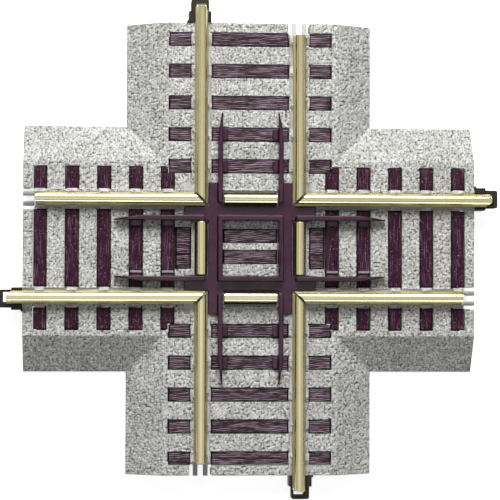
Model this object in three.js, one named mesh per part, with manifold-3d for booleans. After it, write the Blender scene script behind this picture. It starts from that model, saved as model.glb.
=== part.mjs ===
// Ninety-degree railway crossing track section on a moulded ballast roadbed.
// Millimetres, +Z up. The origin is the centre of the crossing on the surface it stands on,
// and the routes run along X and Y. Every arm is the same, so each is built pointing along +Y
// and turned. "Left" and "right" are seen from the centre, looking out along the arm.

import * as THREE from 'three';
import { mergeVertices } from 'three/addons/utils/BufferGeometryUtils.js';
import Module from 'manifold-3d';

const wasm = await Module();
wasm.setup();

// ---- driving dimensions ---------------------------------------------------------------------

const GAUGE = 22.5;
const HEAD_WIDTH = 2.3;
const FOOT_WIDTH = 3.3;
const WEB_WIDTH = 0.9;
const RAIL_HEIGHT = 3.3;
const RAIL_LINE = (GAUGE + HEAD_WIDTH) / 2;
const MITRE_GAP = 0.5;

const ARM_END = 57.15;
const BASE_HALF = 31.2;
const DECK_HALF = 22.0;
const DECK_TOP = 7.0;
const BASE_LIP = 0.8;
const DECK_THICKNESS = 1.6;
const SHELL_WALL = 1.5;

const SEAT_HALF = 2.6;
const SEAT_TOP = 7.5;
const RAIL_BASE = 7.6;
const MALE_TIP = 61.1;
const FEMALE_TIP = 53.9;
const CLOSURE_HALF = 6.67;
const TIP_CHAMFER = 1.3;

const TIE_COUNT = 5;
const TIE_PITCH = 8.03;
const FIRST_TIE = 52.9;
const TIE_WIDTH = 3.2;
const TIE_HALF = 20.5;
const TIE_TOP = 7.5;
const TIE_GROOVE = 0.2;
const FRAME_Z = [4.0, 5.2];
const FRAME_Y = [18.9, 53.7];
const FRAME_HALF = 21.2;
const INSERT_Z = [4.2, 5.2];
const CENTRE_TIES = [3.2, -2.1];
const CENTRE_TIE_HALF = 6.75;
const SIDE_TIE_X = [15.05, 18.75];
const SIDE_TIE_Y = [
  [-1.45, 5.2],
  [-5.0, -1.65],
];
const CHAIR_LENGTH = 2.7;
const CHAIR_TOP = 8.3;

const FLANGEWAY = 3.0;
const GUARD_FACE = GAUGE / 2 - FLANGEWAY;
const GUARD_WALL = 1.2;
const GUARD_TOP = 10.7;
const FLOOR_Z = [7.15, 8.3];
const FLOOR_END = 16.6;
const FLOOR_EDGE = 10.6;
const WING_START = 11.5;
const WING_FLARE = 27.6;
const WING_SLOPE = 30.6;
const WING_TIP = 34.2;
const WING_DROP = 1.3;
const WING_BASE = 7.65;
const WING_FOOT = [1.45, 2.8];
const PEG_RADIUS = 0.9;

const RUNNING_PIN = 16.9;
const CLOSURE_PIN = 4.0;
const PIN_SIZE = 1.3;
const PIN_BOTTOM = 2.8;
const BAR_WIDTH = 2.4;
const BAR_END = 18.4;
const UPPER_BAR_Z = [4.2, 4.8];
const LOWER_BAR_Z = [3.2, 3.8];

const COVER_HALF = 20.0;
const COVER_Z = [1.0, 2.2];
const BOSS_AT = 16.6;
const BOSS_RADIUS = 2.0;
const PILOT_RADIUS = 0.85;
const SCREW_HEAD_RADIUS = 1.7;
const SCREW_HEAD_BOTTOM = 0.15;
const CLEARANCE = 0.15;

// The joiner housing is centred a little outside the line of its rail.
const RAIL_X = -RAIL_LINE;
const JOINER_X = RAIL_X - 0.4;
const JOINER_START = ARM_END + 0.05;
const JOINER_END = 63.1;
const LOOP_HALF = 2.27;
const LOOP_CORNER = 0.6;
const LOOP_Z = [4.2, 7.3];
const LOOP_HOLE_Y = [60.2, 62.05];
const BLOCK_HALF = 2.83;
const BLOCK_END = 59.9;
const BLOCK_Z = [2.4, 8.2];
const FLANGE = [0.45, 0.35];
const CHANNEL_END = 60.8;
const CHANNEL_FLOOR = 5.1;
const SPIGOT_HALF = 1.8;
const SPIGOT_START = 53.95;
const SPIGOT_Z = [3.0, 4.8];
const CONTACT_HALF = 1.0;
const CONTACT_THICKNESS = 0.3;
const NOTCH_HALF = 2.75;
const NOTCH_DEPTH = 2.8;
const PRONG_X = [0.7, 1.85];
const PRONG_Z = [5.7, 7.3];

const UNDERSIDE = DECK_TOP - DECK_THICKNESS;
// Taller than anything, for tools that cut right through.
const ALL_Z = [-1, 20];
const RAIL_SIDES = { left: -1, right: 1 };
// How many quarter turns take the arm along +Y, or the corner at +X +Y, to each of the others.
const ARMS = { north: 0, west: 1, south: 2, east: 3 };
const CORNERS = ['north_east', 'north_west', 'south_west', 'south_east'];

// ---- materials ------------------------------------------------------------------------------

const colours = {
  ballast: { color: 0xc3c4bd, roughness: 0.85, metalness: 0.0 },
  tie: { color: 0x4a2c42, roughness: 0.65, metalness: 0.0 },
  guard: { color: 0x43283d, roughness: 0.45, metalness: 0.0 },
  rail: { color: 0xcbc48e, roughness: 0.3, metalness: 1.0 },
  joiner: { color: 0x3a3530, roughness: 0.55, metalness: 0.0 },
  contact: { color: 0xb8a05a, roughness: 0.35, metalness: 1.0 },
  cover: { color: 0x2e2c2c, roughness: 0.6, metalness: 0.0 },
  screw: { color: 0x9a9a9a, roughness: 0.35, metalness: 1.0 },
};

function material(name) {
  return new THREE.MeshStandardMaterial(colours[name]);
}

// ---- solids ---------------------------------------------------------------------------------

function solid(geometry) {
  geometry.deleteAttribute('normal');
  geometry.deleteAttribute('uv');
  const merged = mergeVertices(geometry, 1e-5);
  const vertProperties = new Float32Array(merged.attributes.position.array);
  const triVerts = new Uint32Array(merged.index.array);
  return new wasm.Manifold(new wasm.Mesh({ numProp: 3, vertProperties, triVerts }));
}

function box([x0, x1], [y0, y1], [z0, z1]) {
  const geometry = new THREE.BoxGeometry(x1 - x0, y1 - y0, z1 - z0);
  return solid(geometry.translate((x0 + x1) / 2, (y0 + y1) / 2, (z0 + z1) / 2));
}

// An outline in X and Y, raised from z0 to z1.
function plate(points, [z0, z1], segments = 1) {
  const shape = points instanceof THREE.Shape ? points : new THREE.Shape(pairs(points));
  const options = { depth: z1 - z0, bevelEnabled: false, curveSegments: segments };
  return solid(new THREE.ExtrudeGeometry(shape, options).translate(0, 0, z0));
}

// A section in X and Z, drawn along Y from y0 to y1.
function profile(points, [y0, y1]) {
  const geometry = new THREE.ExtrudeGeometry(new THREE.Shape(pairs(points)), {
    depth: y1 - y0,
    bevelEnabled: false,
  });
  return solid(geometry.rotateX(Math.PI / 2).translate(0, y1, 0));
}

function cylinder(radius, [x, y], [z0, z1], sides = 20) {
  const geometry = new THREE.CylinderGeometry(radius, radius, z1 - z0, sides);
  return solid(geometry.rotateX(Math.PI / 2).translate(x, y, (z0 + z1) / 2));
}

function pairs(points) {
  return points.map(([a, b]) => new THREE.Vector2(a, b));
}

function joined(solids) {
  return solids.reduce((sum, next) => sum.add(next));
}

function cut(body, tools) {
  return tools.length ? body.subtract(joined(tools)) : body;
}

// The same solid turned about Z by a number of quarter turns.
function turned(body, quarters) {
  return body.rotate([0, 0, 90 * quarters]);
}

function onEveryArm(make) {
  return Object.values(ARMS).flatMap((quarters) => make().map((body) => turned(body, quarters)));
}

function mesh(name, body, materialName) {
  const { vertProperties, triVerts } = body.getMesh();
  const geometry = new THREE.BufferGeometry();
  geometry.setAttribute('position', new THREE.BufferAttribute(vertProperties, 3));
  geometry.setIndex(new THREE.BufferAttribute(triVerts, 1));
  geometry.computeVertexNormals();
  const result = new THREE.Mesh(geometry, material(materialName));
  result.name = name;
  return result;
}

// A closed outline from its right-hand half, mirrored about the second axis.
function mirroredOutline(half) {
  return [...half, ...half.map(([x, y]) => [-x, y]).reverse()];
}

function ordered([a, b]) {
  return [Math.min(a, b), Math.max(a, b)];
}

function grown([a, b], margin) {
  return [a - margin, b + margin];
}

// ---- ties -----------------------------------------------------------------------------------

const tieCentres = Array.from({ length: TIE_COUNT }, (_, i) => FIRST_TIE - i * TIE_PITCH);
const INNER_TIE = tieCentres[TIE_COUNT - 1];
const SEAT_INNER = RAIL_LINE - SEAT_HALF - 0.1;
const SEAT_OUTER = RAIL_LINE + SEAT_HALF - 0.05;

// Where a tie shows through the deck: between the rails and outside each of them.
const tieSpans = [
  [-TIE_HALF, -SEAT_OUTER],
  [-SEAT_INNER, SEAT_INNER],
  [SEAT_OUTER, TIE_HALF],
];

// Blocks or windows for the ties of the arm along +Y, grown by a margin on every side.
function tieBlocks(margin, [z0, z1]) {
  const half = TIE_WIDTH / 2 + margin;
  return tieCentres.flatMap((y) =>
    tieSpans.map(([x0, x1]) => box([x0 - margin, x1 + margin], [y - half, y + half], [z0, z1])),
  );
}

// The outer blocks of the innermost tie, which the ties of the crossing route run up against.
function innerTieEnds(margin) {
  const half = TIE_WIDTH / 2 + margin;
  const span = [INNER_TIE - half, INNER_TIE + half];
  return [-1, 1].map((side) => {
    const ends = [SEAT_OUTER - margin, TIE_HALF + margin].map((x) => side * x);
    return box(ordered(ends), span, ALL_Z);
  });
}

// Five ties moulded on one carrier, which is pushed up into the deck windows from below. The
// carrier's inner corners are cut off at 45 degrees, to clear the carriers of the other route.
function tieFrame(cutByCrossingTies) {
  const [inner, outer] = FRAME_Y;
  const narrow = inner - 0.5;
  const carrier = plate(
    mirroredOutline([
      [narrow, inner],
      [FRAME_HALF, inner + FRAME_HALF - narrow],
      [FRAME_HALF, outer],
    ]),
    FRAME_Z,
  );
  const frame = joined([carrier, ...tieBlocks(0, [FRAME_Z[0], TIE_TOP])]);
  const crossing = [-1, 1].flatMap((quarters) => innerTieEnds(TIE_GROOVE).map((b) => turned(b, quarters)));
  return cutByCrossingTies ? cut(frame, crossing) : frame;
}

// Two short ties inside the guard ring, joined below the deck.
function centreTies(margin, z) {
  const half = TIE_WIDTH / 2 + margin;
  const reach = CENTRE_TIE_HALF + margin;
  return CENTRE_TIES.map((y) => box([-reach, reach], [y - half, y + half], z));
}

function centreTieInsert() {
  const carrier = box([-8, 8], [-5, 6], INSERT_Z);
  return joined([carrier, ...centreTies(0, [INSERT_Z[0], TIE_TOP])]);
}

// The short tie ends beside the closure rail on the east (side +1) or the west (side -1).
function sideTieInsert(side) {
  const carrierX = ordered([side * (SIDE_TIE_X[0] - 1), side * SIDE_TIE_X[1]]);
  const tieX = ordered(SIDE_TIE_X.map((x) => side * x));
  const carrier = box(carrierX, [-6, 6], INSERT_Z);
  return joined([carrier, ...SIDE_TIE_Y.map((y) => box(tieX, y, [INSERT_Z[0], TIE_TOP]))]);
}

function sideTieWindow(side) {
  const [upper, lower] = SIDE_TIE_Y;
  const x = ordered(SIDE_TIE_X.map((value) => side * value));
  return box(grown(x, TIE_GROOVE), grown([lower[0], upper[1]], TIE_GROOVE), ALL_Z);
}

// ---- roadbed --------------------------------------------------------------------------------

function roadbedShell() {
  const outside = mirroredOutline([
    [BASE_HALF, 0],
    [BASE_HALF, BASE_LIP],
    [DECK_HALF, DECK_TOP],
  ]);
  const lip = BASE_HALF - SHELL_WALL;
  const inside = mirroredOutline([
    [lip + 0.3, -0.2],
    [DECK_HALF - 0.3, UNDERSIDE],
  ]);
  const inner = ARM_END - DECK_THICKNESS;
  const block = profile(outside, [-ARM_END, ARM_END]);
  const hollow = profile(inside, [-inner, inner]);
  return cut(block.add(turned(block, 1)), [hollow.add(turned(hollow, 1))]);
}

// The smooth strip that each rail stands on, from the corner out to the end of the arm.
function railSeats() {
  return Object.values(RAIL_SIDES).map((side) => {
    const x = side * RAIL_LINE;
    const start = RAIL_LINE - SEAT_HALF;
    return box([x - SEAT_HALF, x + SEAT_HALF], [start, ARM_END], [DECK_TOP - 0.2, SEAT_TOP]);
  });
}

function closureSeat() {
  const reach = CLOSURE_HALF + 0.1;
  const y = [FLOOR_EDGE + 0.1, RAIL_LINE + SEAT_HALF];
  return [box([-reach, reach], y, [DECK_TOP - 0.2, SEAT_TOP])];
}

// The smooth pad outside each mitred corner.
function cornerPad() {
  const span = [RAIL_LINE - SEAT_HALF, FLOOR_END];
  return [box(span, span, [DECK_TOP - 0.2, SEAT_TOP - 0.1])];
}

// Chairs beside the rail foot at every tie.
function railChairs() {
  const reach = [FOOT_WIDTH / 2 + 0.1, SEAT_HALF - 0.05];
  return tieCentres.flatMap((y) =>
    Object.values(RAIL_SIDES).flatMap((side) =>
      [-1, 1].map((face) => {
        const x = ordered(reach.map((u) => side * RAIL_LINE + face * u));
        return box(x, grown([y, y], CHAIR_LENGTH / 2), [SEAT_TOP - 0.2, CHAIR_TOP]);
      }),
    ),
  );
}

// The notch in the arm's end for the neighbour's rail joiner, on the right-hand rail.
function endNotch() {
  const y = [ARM_END - NOTCH_DEPTH, ARM_END + 1];
  return box([RAIL_LINE - NOTCH_HALF, RAIL_LINE + NOTCH_HALF], y, ALL_Z);
}

// Two prongs in the notch that hold up the foot of the neighbour's rail.
function notchProngs() {
  return [-1, 1].map((side) => {
    const x = ordered(PRONG_X.map((u) => RAIL_LINE + side * u));
    return box(x, [ARM_END - NOTCH_DEPTH - 1, ARM_END], PRONG_Z);
  });
}

// The hole in the arm's end that the rail joiner's spigot goes into, on the left-hand rail.
function spigotHole() {
  const x = grown([JOINER_X, JOINER_X], SPIGOT_HALF + CLEARANCE);
  return box(x, [ARM_END - 2, ARM_END + 1], grown(SPIGOT_Z, CLEARANCE));
}

function pinSlot([x, y]) {
  const half = PIN_SIZE / 2 + CLEARANCE;
  return box(grown([x, x], half), grown([y, y], half), ALL_Z);
}

function pinPlaces() {
  const arm = Object.values(RAIL_SIDES).map((side) => [side * RAIL_LINE, RUNNING_PIN]);
  const closure = [-1, 1].map((side) => [side * CLOSURE_PIN, RAIL_LINE]);
  return [...arm, ...closure];
}

function coverBoss() {
  return [cylinder(BOSS_RADIUS, [BOSS_AT, BOSS_AT], [COVER_Z[1] + 0.1, UNDERSIDE + 0.2])];
}

function pilotHole() {
  return [cylinder(PILOT_RADIUS, [BOSS_AT, BOSS_AT], [0, UNDERSIDE - 0.2], 12)];
}

// The guard moulding is held by a peg at each corner of its ring.
const PEG_AT = (GUARD_FACE + FLOOR_EDGE) / 2;

function pegHole() {
  return [cylinder(PEG_RADIUS + CLEARANCE, [PEG_AT, PEG_AT], ALL_Z, 16)];
}

function roadbed() {
  const raised = joined([
    roadbedShell(),
    ...onEveryArm(() => [...railSeats(), ...closureSeat(), ...cornerPad(), ...railChairs()]),
    ...onEveryArm(coverBoss),
  ]);
  // The guard moulding's floor lies on the deck, so the rail seats stop short of it.
  const underFloor = onEveryArm(() =>
    guardFloor().map(([x, y]) => box(grown(x, 0.1), grown(y, 0.1), [DECK_TOP, GUARD_TOP])),
  );
  const openings = [
    ...onEveryArm(() => tieBlocks(TIE_GROOVE, ALL_Z)),
    ...centreTies(TIE_GROOVE, ALL_Z),
    ...[-1, 1].map(sideTieWindow),
    ...onEveryArm(() => [endNotch(), spigotHole(), ...pinPlaces().map(pinSlot)]),
    ...onEveryArm(() => [...pilotHole(), ...pegHole()]),
  ];
  const opened = cut(raised, [...underFloor, ...openings]);
  return joined([opened, ...onEveryArm(notchProngs)]);
}

// ---- rails ----------------------------------------------------------------------------------

const railSection = mirroredOutline([
  [FOOT_WIDTH / 2, 0],
  [FOOT_WIDTH / 2, 0.4],
  [WEB_WIDTH / 2, 0.85],
  [WEB_WIDTH / 2, 1.95],
  [HEAD_WIDTH / 2, 2.3],
  [HEAD_WIDTH / 2, 3.0],
  [HEAD_WIDTH / 2 - 0.3, RAIL_HEIGHT],
]).map(([x, z]) => [x, z + RAIL_BASE]);

// A pin under the foot, which goes down through the deck to the jumper bar.
function railPin([x, y]) {
  const half = PIN_SIZE / 2;
  return box(grown([x, x], half), grown([y, y], half), [PIN_BOTTOM, RAIL_BASE + 0.3]);
}

// Everything inside the diagonal that the rails of one corner are mitred along.
function mitreTool(side) {
  const near = MITRE_GAP / Math.SQRT2;
  const far = ARM_END / 2;
  const outline = [
    [0, near],
    [far, near + far],
    [far, 0],
    [0, 0],
  ].map(([x, y]) => [side * x, y]);
  return plate(outline, [RAIL_BASE - 1, RAIL_BASE + RAIL_HEIGHT + 1]);
}

// The corner of a projecting rail end that faces the middle of the track.
function tipChamfer(x) {
  const corner = [x + FOOT_WIDTH / 2 + 0.1, MALE_TIP + 0.1];
  const outline = [corner, [corner[0], corner[1] - TIP_CHAMFER], [corner[0] - TIP_CHAMFER, corner[1]]];
  return plate(outline, ALL_Z);
}

function runningRail(side) {
  const male = side === RAIL_SIDES.left;
  const x = side * RAIL_LINE;
  const section = railSection.map(([u, z]) => [u + x, z]);
  const bar = profile(section, [RAIL_LINE - FOOT_WIDTH, male ? MALE_TIP : FEMALE_TIP]);
  const tools = male ? [mitreTool(side), tipChamfer(x)] : [mitreTool(side)];
  return cut(bar, tools).add(railPin([x, RUNNING_PIN]));
}

// The short rail between two flangeways, on the line of the rails that cross the arm.
function closureRail() {
  const bar = turned(profile(railSection, [-CLOSURE_HALF, CLOSURE_HALF]), 1).translate([0, RAIL_LINE, 0]);
  return joined([bar, ...[-1, 1].map((side) => railPin([side * CLOSURE_PIN, RAIL_LINE]))]);
}

// ---- guard moulding -------------------------------------------------------------------------

// Flangeway floors of one arm as [x span, y span], on both sides of its centre line.
function guardFloor() {
  const inner = GUARD_FACE - GUARD_WALL;
  const y = [0, FLOOR_END];
  return [
    [[-FLOOR_EDGE, -inner], y],
    [[inner, FLOOR_EDGE], y],
  ];
}

// One guard rail: its rail side flares away from the rail near the tip, and its top slopes down.
function guardWing(side) {
  const inner = GUARD_FACE - GUARD_WALL;
  const outline = [
    [inner, WING_START],
    [GUARD_FACE, WING_START],
    [GUARD_FACE, WING_FLARE],
    [GUARD_FACE - 0.4, WING_SLOPE],
    [inner + 0.2, WING_TIP],
    [inner, WING_TIP],
  ].map(([x, y]) => [side * x, y]);
  const wing = plate(outline, [FLOOR_Z[0], GUARD_TOP]);
  const overDeck = box([-DECK_HALF, DECK_HALF], [FLOOR_END, WING_TIP + 1], [0, WING_BASE]);
  const length = WING_TIP - WING_SLOPE + 0.5;
  const wedge = profile(
    [
      [0, GUARD_TOP],
      [length, GUARD_TOP + 0.1],
      [length, GUARD_TOP - WING_DROP],
    ],
    [-DECK_HALF, DECK_HALF],
  );
  return cut(wing, [overDeck, turned(wedge, 1).translate([0, WING_SLOPE, 0])]);
}

// Feet on the inner side of a wing, standing on the two ties that it passes over.
function wingFeet(side) {
  const inner = GUARD_FACE - GUARD_WALL;
  const [width, length] = WING_FOOT;
  const x = ordered([side * (inner - width), side * (inner + 0.1)]);
  return tieCentres.slice(-2).map((y) => box(x, grown([y, y], length / 2), [WING_BASE, FLOOR_Z[1]]));
}

function guardMoulding() {
  const outside = box(...square(GUARD_FACE), [FLOOR_Z[0], GUARD_TOP]);
  const ring = cut(outside, [box(...square(GUARD_FACE - GUARD_WALL), ALL_Z)]);
  const parts = onEveryArm(() => [
    ...guardFloor().map(([x, y]) => box(x, y, FLOOR_Z)),
    ...Object.values(RAIL_SIDES).flatMap((side) => [guardWing(side), ...wingFeet(side)]),
    cylinder(PEG_RADIUS, [PEG_AT, PEG_AT], [UNDERSIDE - 0.6, FLOOR_Z[0] + 0.2], 16),
  ]);
  return joined([ring, ...parts]);
}

function square(half) {
  return [
    [-half, half],
    [-half, half],
  ];
}

// ---- rail joiners ---------------------------------------------------------------------------

function roundedLoop() {
  const [left, right] = grown([JOINER_X, JOINER_X], LOOP_HALF);
  const shape = new THREE.Shape();
  shape.moveTo(left, JOINER_START);
  shape.lineTo(right, JOINER_START);
  shape.lineTo(right, JOINER_END - LOOP_CORNER);
  shape.quadraticCurveTo(right, JOINER_END, right - LOOP_CORNER, JOINER_END);
  shape.lineTo(left + LOOP_CORNER, JOINER_END);
  shape.quadraticCurveTo(left, JOINER_END, left, JOINER_END - LOOP_CORNER);
  return plate(shape, LOOP_Z, 4);
}

// The plastic housing that is pushed onto the left-hand rail and carries its contact: a low loop
// round the rail's tip, a block that fills the neighbour's notch, a flange and a spigot.
function joinerHousing() {
  const body = joined([
    roundedLoop(),
    box(grown([JOINER_X, JOINER_X], BLOCK_HALF), [JOINER_START, BLOCK_END], BLOCK_Z),
    box([JOINER_X - BLOCK_HALF - FLANGE[0], JOINER_X], [JOINER_START, JOINER_START + FLANGE[1]], BLOCK_Z),
    box(grown([JOINER_X, JOINER_X], SPIGOT_HALF), [SPIGOT_START, JOINER_START + 0.5], SPIGOT_Z),
  ]);
  const channel = grown([RAIL_X, RAIL_X], FOOT_WIDTH / 2 + CLEARANCE);
  return cut(body, [
    box(channel, [JOINER_START - 1, CHANNEL_END], [CHANNEL_FLOOR, RAIL_BASE + RAIL_HEIGHT]),
    box(grown([RAIL_X, RAIL_X], HEAD_WIDTH / 2 + 0.1), LOOP_HOLE_Y, ALL_Z),
  ]);
}

// A brass strip on the channel floor, with its end turned up under the rail foot.
function joinerContact() {
  const x = grown([RAIL_X, RAIL_X], CONTACT_HALF);
  const base = CHANNEL_FLOOR + 0.1;
  const strip = box(x, [JOINER_START + 0.1, MALE_TIP], [base, base + CONTACT_THICKNESS]);
  const upturned = box(x, [MALE_TIP - CONTACT_THICKNESS, MALE_TIP], [base, RAIL_BASE - 0.2]);
  return strip.add(upturned);
}

// ---- parts under the deck -------------------------------------------------------------------

// A bar along Y that joins the rails of one line, with a hole for each rail pin.
function jumperBar(side, z) {
  const line = side * RAIL_LINE;
  const bar = box(grown([line, line], BAR_WIDTH / 2), [-BAR_END, BAR_END], z);
  const hole = PIN_SIZE / 2 + 0.1;
  const holes = [-RUNNING_PIN, -CLOSURE_PIN, CLOSURE_PIN, RUNNING_PIN].map((y) =>
    box(grown([line, line], hole), grown([y, y], hole), ALL_Z),
  );
  return cut(bar, holes);
}

function bottomCover() {
  const sheet = box(...square(COVER_HALF), COVER_Z);
  return cut(sheet, onEveryArm(() => [cylinder(PILOT_RADIUS + CLEARANCE, [BOSS_AT, BOSS_AT], ALL_Z, 16)]));
}

function coverScrew() {
  const top = COVER_Z[0] - 0.05;
  const head = cylinder(SCREW_HEAD_RADIUS, [BOSS_AT, BOSS_AT], [SCREW_HEAD_BOTTOM, top]);
  const shank = cylinder(PILOT_RADIUS - 0.1, [BOSS_AT, BOSS_AT], [top - 0.5, UNDERSIDE - 0.4], 12);
  return head.add(shank);
}

// ---- assembly -------------------------------------------------------------------------------

const group = new THREE.Group();

group.add(mesh('roadbed', roadbed(), 'ballast'));
group.add(mesh('guard_frog_moulding', guardMoulding(), 'guard'));
group.add(mesh('centre_tie_insert', centreTieInsert(), 'tie'));
group.add(mesh('side_tie_insert_east', sideTieInsert(1), 'tie'));
group.add(mesh('side_tie_insert_west', sideTieInsert(-1), 'tie'));

for (const [arm, quarters] of Object.entries(ARMS)) {
  const alongX = quarters % 2 === 1;
  group.add(mesh(`tie_frame_${arm}`, turned(tieFrame(alongX), quarters), 'tie'));
  for (const [sideName, side] of Object.entries(RAIL_SIDES)) {
    group.add(mesh(`rail_${arm}_${sideName}`, turned(runningRail(side), quarters), 'rail'));
  }
  group.add(mesh(`closure_rail_${arm}`, turned(closureRail(), quarters), 'rail'));
  group.add(mesh(`joiner_housing_${arm}`, turned(joinerHousing(), quarters), 'joiner'));
  group.add(mesh(`joiner_contact_${arm}`, turned(joinerContact(), quarters), 'contact'));
  group.add(mesh(`cover_screw_${CORNERS[quarters]}`, turned(coverScrew(), quarters), 'screw'));
}

// The bars along X pass below the bars along Y.
group.add(mesh('jumper_bar_west', jumperBar(-1, UPPER_BAR_Z), 'contact'));
group.add(mesh('jumper_bar_east', jumperBar(1, UPPER_BAR_Z), 'contact'));
group.add(mesh('jumper_bar_north', turned(jumperBar(1, LOWER_BAR_Z), 1), 'contact'));
group.add(mesh('jumper_bar_south', turned(jumperBar(-1, LOWER_BAR_Z), 1), 'contact'));
group.add(mesh('bottom_cover', bottomCover(), 'cover'));

export default group;
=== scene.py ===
"""Looks for the railway crossing track section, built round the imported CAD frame.

Sizes are in millimetres and are scaled to metres as each mesh is made. Every arm is the same, so
its pieces are drawn on the arm along +Y, where "left" is -X, and then turned.
"""

import math

import bmesh
import bpy
import numpy as np
from mathutils import Matrix, Vector


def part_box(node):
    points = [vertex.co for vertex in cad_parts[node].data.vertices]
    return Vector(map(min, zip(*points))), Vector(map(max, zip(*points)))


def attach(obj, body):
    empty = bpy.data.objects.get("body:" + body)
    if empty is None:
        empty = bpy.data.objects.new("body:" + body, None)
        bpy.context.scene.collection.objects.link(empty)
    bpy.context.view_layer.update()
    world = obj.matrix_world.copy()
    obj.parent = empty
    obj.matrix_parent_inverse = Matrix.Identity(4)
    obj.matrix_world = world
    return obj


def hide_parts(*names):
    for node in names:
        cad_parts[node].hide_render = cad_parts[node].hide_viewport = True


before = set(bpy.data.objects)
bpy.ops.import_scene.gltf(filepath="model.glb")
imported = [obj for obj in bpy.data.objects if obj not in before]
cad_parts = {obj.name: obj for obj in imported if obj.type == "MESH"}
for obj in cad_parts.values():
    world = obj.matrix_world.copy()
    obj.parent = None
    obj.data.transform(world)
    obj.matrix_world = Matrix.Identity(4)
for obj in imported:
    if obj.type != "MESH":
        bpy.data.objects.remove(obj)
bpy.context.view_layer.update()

# ---- sizes, from the frame and from a few driving dimensions ---------------------------------

MM = 0.001
X, Y, Z = 0, 1, 2


def low(node, axis):
    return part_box(node)[0][axis] / MM


def high(node, axis):
    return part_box(node)[1][axis] / MM


ARMS = {"north": 0, "west": 1, "south": 2, "east": 3}
SIDES = {"left": -1, "right": 1}
CORNERS = ("north_east", "north_west", "south_west", "south_east")

ARM_END = high("roadbed", Y)
RAIL_LINE = (low("rail_north_right", X) + high("rail_north_right", X)) / 2
RAIL_TOP = high("rail_north_right", Z)
MALE_TIP = high("rail_north_left", Y)
FEMALE_TIP = high("rail_north_right", Y)
CLOSURE_HALF = high("closure_rail_north", X)
PIN_BOTTOM = low("rail_north_right", Z)
TIE_TOP = high("tie_frame_north", Z)
GUARD_TOP = high("guard_frog_moulding", Z)

# The roadbed. A name that ends in HALF or EDGE is a distance from the middle of a track or a rail.
BASE_HALF = 31.2
BASE_LIP = 0.8
DECK_HALF = 22.0
DECK_TOP = 7.0
SEAT_HALF = 2.6
SEAT_TOP = 7.5
PAD_END = 16.6
FLOOR_EDGE = 10.6
GUARD_INNER = 7.05
CHAIR_TOP = 8.3
CHAIR_LENGTH = 2.7
NOTCH_HALF = 2.75
NOTCH_DEPTH = 2.8

# The ties. TIE_CENTRES run inwards from the end of an arm.
TIE_COUNT = 5
TIE_PITCH = 8.03
FIRST_TIE = 52.9
TIE_WIDTH = 3.2
TIE_HALF = 20.5
TIE_GROOVE = 0.2
TIE_CENTRES = [FIRST_TIE - i * TIE_PITCH for i in range(TIE_COUNT)]
CORNER_TIE_X = TIE_CENTRES[-1] - TIE_WIDTH / 2 - TIE_GROOVE
TIE_SPANS = ((-TIE_HALF, -14.95), (-9.7, 9.7), (14.95, TIE_HALF))
CENTRE_TIES = (3.2, -2.1)
CENTRE_TIE_HALF = 6.75
SIDE_TIE_X = (15.05, 18.75)
SIDE_TIE_Y = ((-1.45, 5.2), (-5.0, -1.65))
WING_FOOT_WIDTH = 1.45

# The rails, and the pins under them.
RAIL_BASE = 7.6
RAIL_HEIGHT = RAIL_TOP - RAIL_BASE
FOOT_HALF = 1.65
HEAD_HALF = 1.15
WEB_HALF = 0.45
MITRE_GAP = 0.5
RUNNING_PIN = 16.9
CLOSURE_PIN = 4.0
PIN_HALF = 0.65


# ---- meshes ----------------------------------------------------------------------------------

WELD = 0.002
FLAT_ANGLE = math.radians(0.5)


class Form:
    """Closed shells, as points in millimetres and the faces between them."""

    def __init__(self):
        self.points = []
        self.faces = []

    def add(self, points, faces):
        start = len(self.points)
        self.points.extend(tuple(p) for p in points)
        self.faces.extend(tuple(start + i for i in face) for face in faces)
        return self

    def block(self, x, y, z):
        """A box between two values on each axis."""
        return self.prism([(x[0], y[0]), (x[1], y[0]), (x[1], y[1]), (x[0], y[1])], z)

    def prism(self, outline, z, taper=0.0):
        """An outline drawn anticlockwise, raised from z[0] to z[1] and drawn in at the top."""
        centre = np.mean(outline, axis=0)
        upper = [tuple(np.array(p) + taper * np.sign(centre - p)) for p in outline]
        n = len(outline)
        points = [(*p, z[0]) for p in outline] + [(*p, z[1]) for p in upper]
        sides = [(i, (i + 1) % n, (i + 1) % n + n, i + n) for i in range(n)]
        caps = [tuple(reversed(range(n))), tuple(range(n, 2 * n))]
        return self.add(points, sides + caps)

    def dome(self, centre, radius, z, rings=3, around=10):
        """A rounded knob of that radius, standing from z[0] and domed over at z[1]."""
        points = []
        for ring in range(rings + 1):
            angle = ring / rings * math.pi / 2
            r = radius * math.cos(angle * 0.94)
            height = z[0] + (z[1] - z[0]) * (0.35 + 0.65 * math.sin(angle)) if ring else z[0]
            points += [
                (centre[0] + r * math.cos(a), centre[1] + r * math.sin(a), height)
                for a in (2 * math.pi * i / around for i in range(around))
            ]
        faces = [tuple(reversed(range(around)))]
        for ring in range(rings):
            for i in range(around):
                a, b = ring * around + i, ring * around + (i + 1) % around
                faces.append((a, b, b + around, a + around))
        faces.append(tuple(range(rings * around, (rings + 1) * around)))
        return self.add(points, faces)

    def bar(self, section, start, end):
        """A closed section in X and Z, drawn along Y from start(x) to end(x)."""
        n = len(section)
        points = [(u, start(u), z) for u, z in section] + [(u, end(u), z) for u, z in section]
        sides = [((i + 1) % n, i, i + n, (i + 1) % n + n) for i in range(n)]
        caps = [tuple(range(n)), tuple(reversed(range(n, 2 * n)))]
        return self.add(points, sides + caps)

    def turned(self, quarters):
        """The same shells turned about Z by quarter turns."""
        for _ in range(quarters % 4):
            self.points = [(-y, x, z) for x, y, z in self.points]
        return self

    def joined(self, other):
        return self.add(other.points, other.faces)


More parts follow.
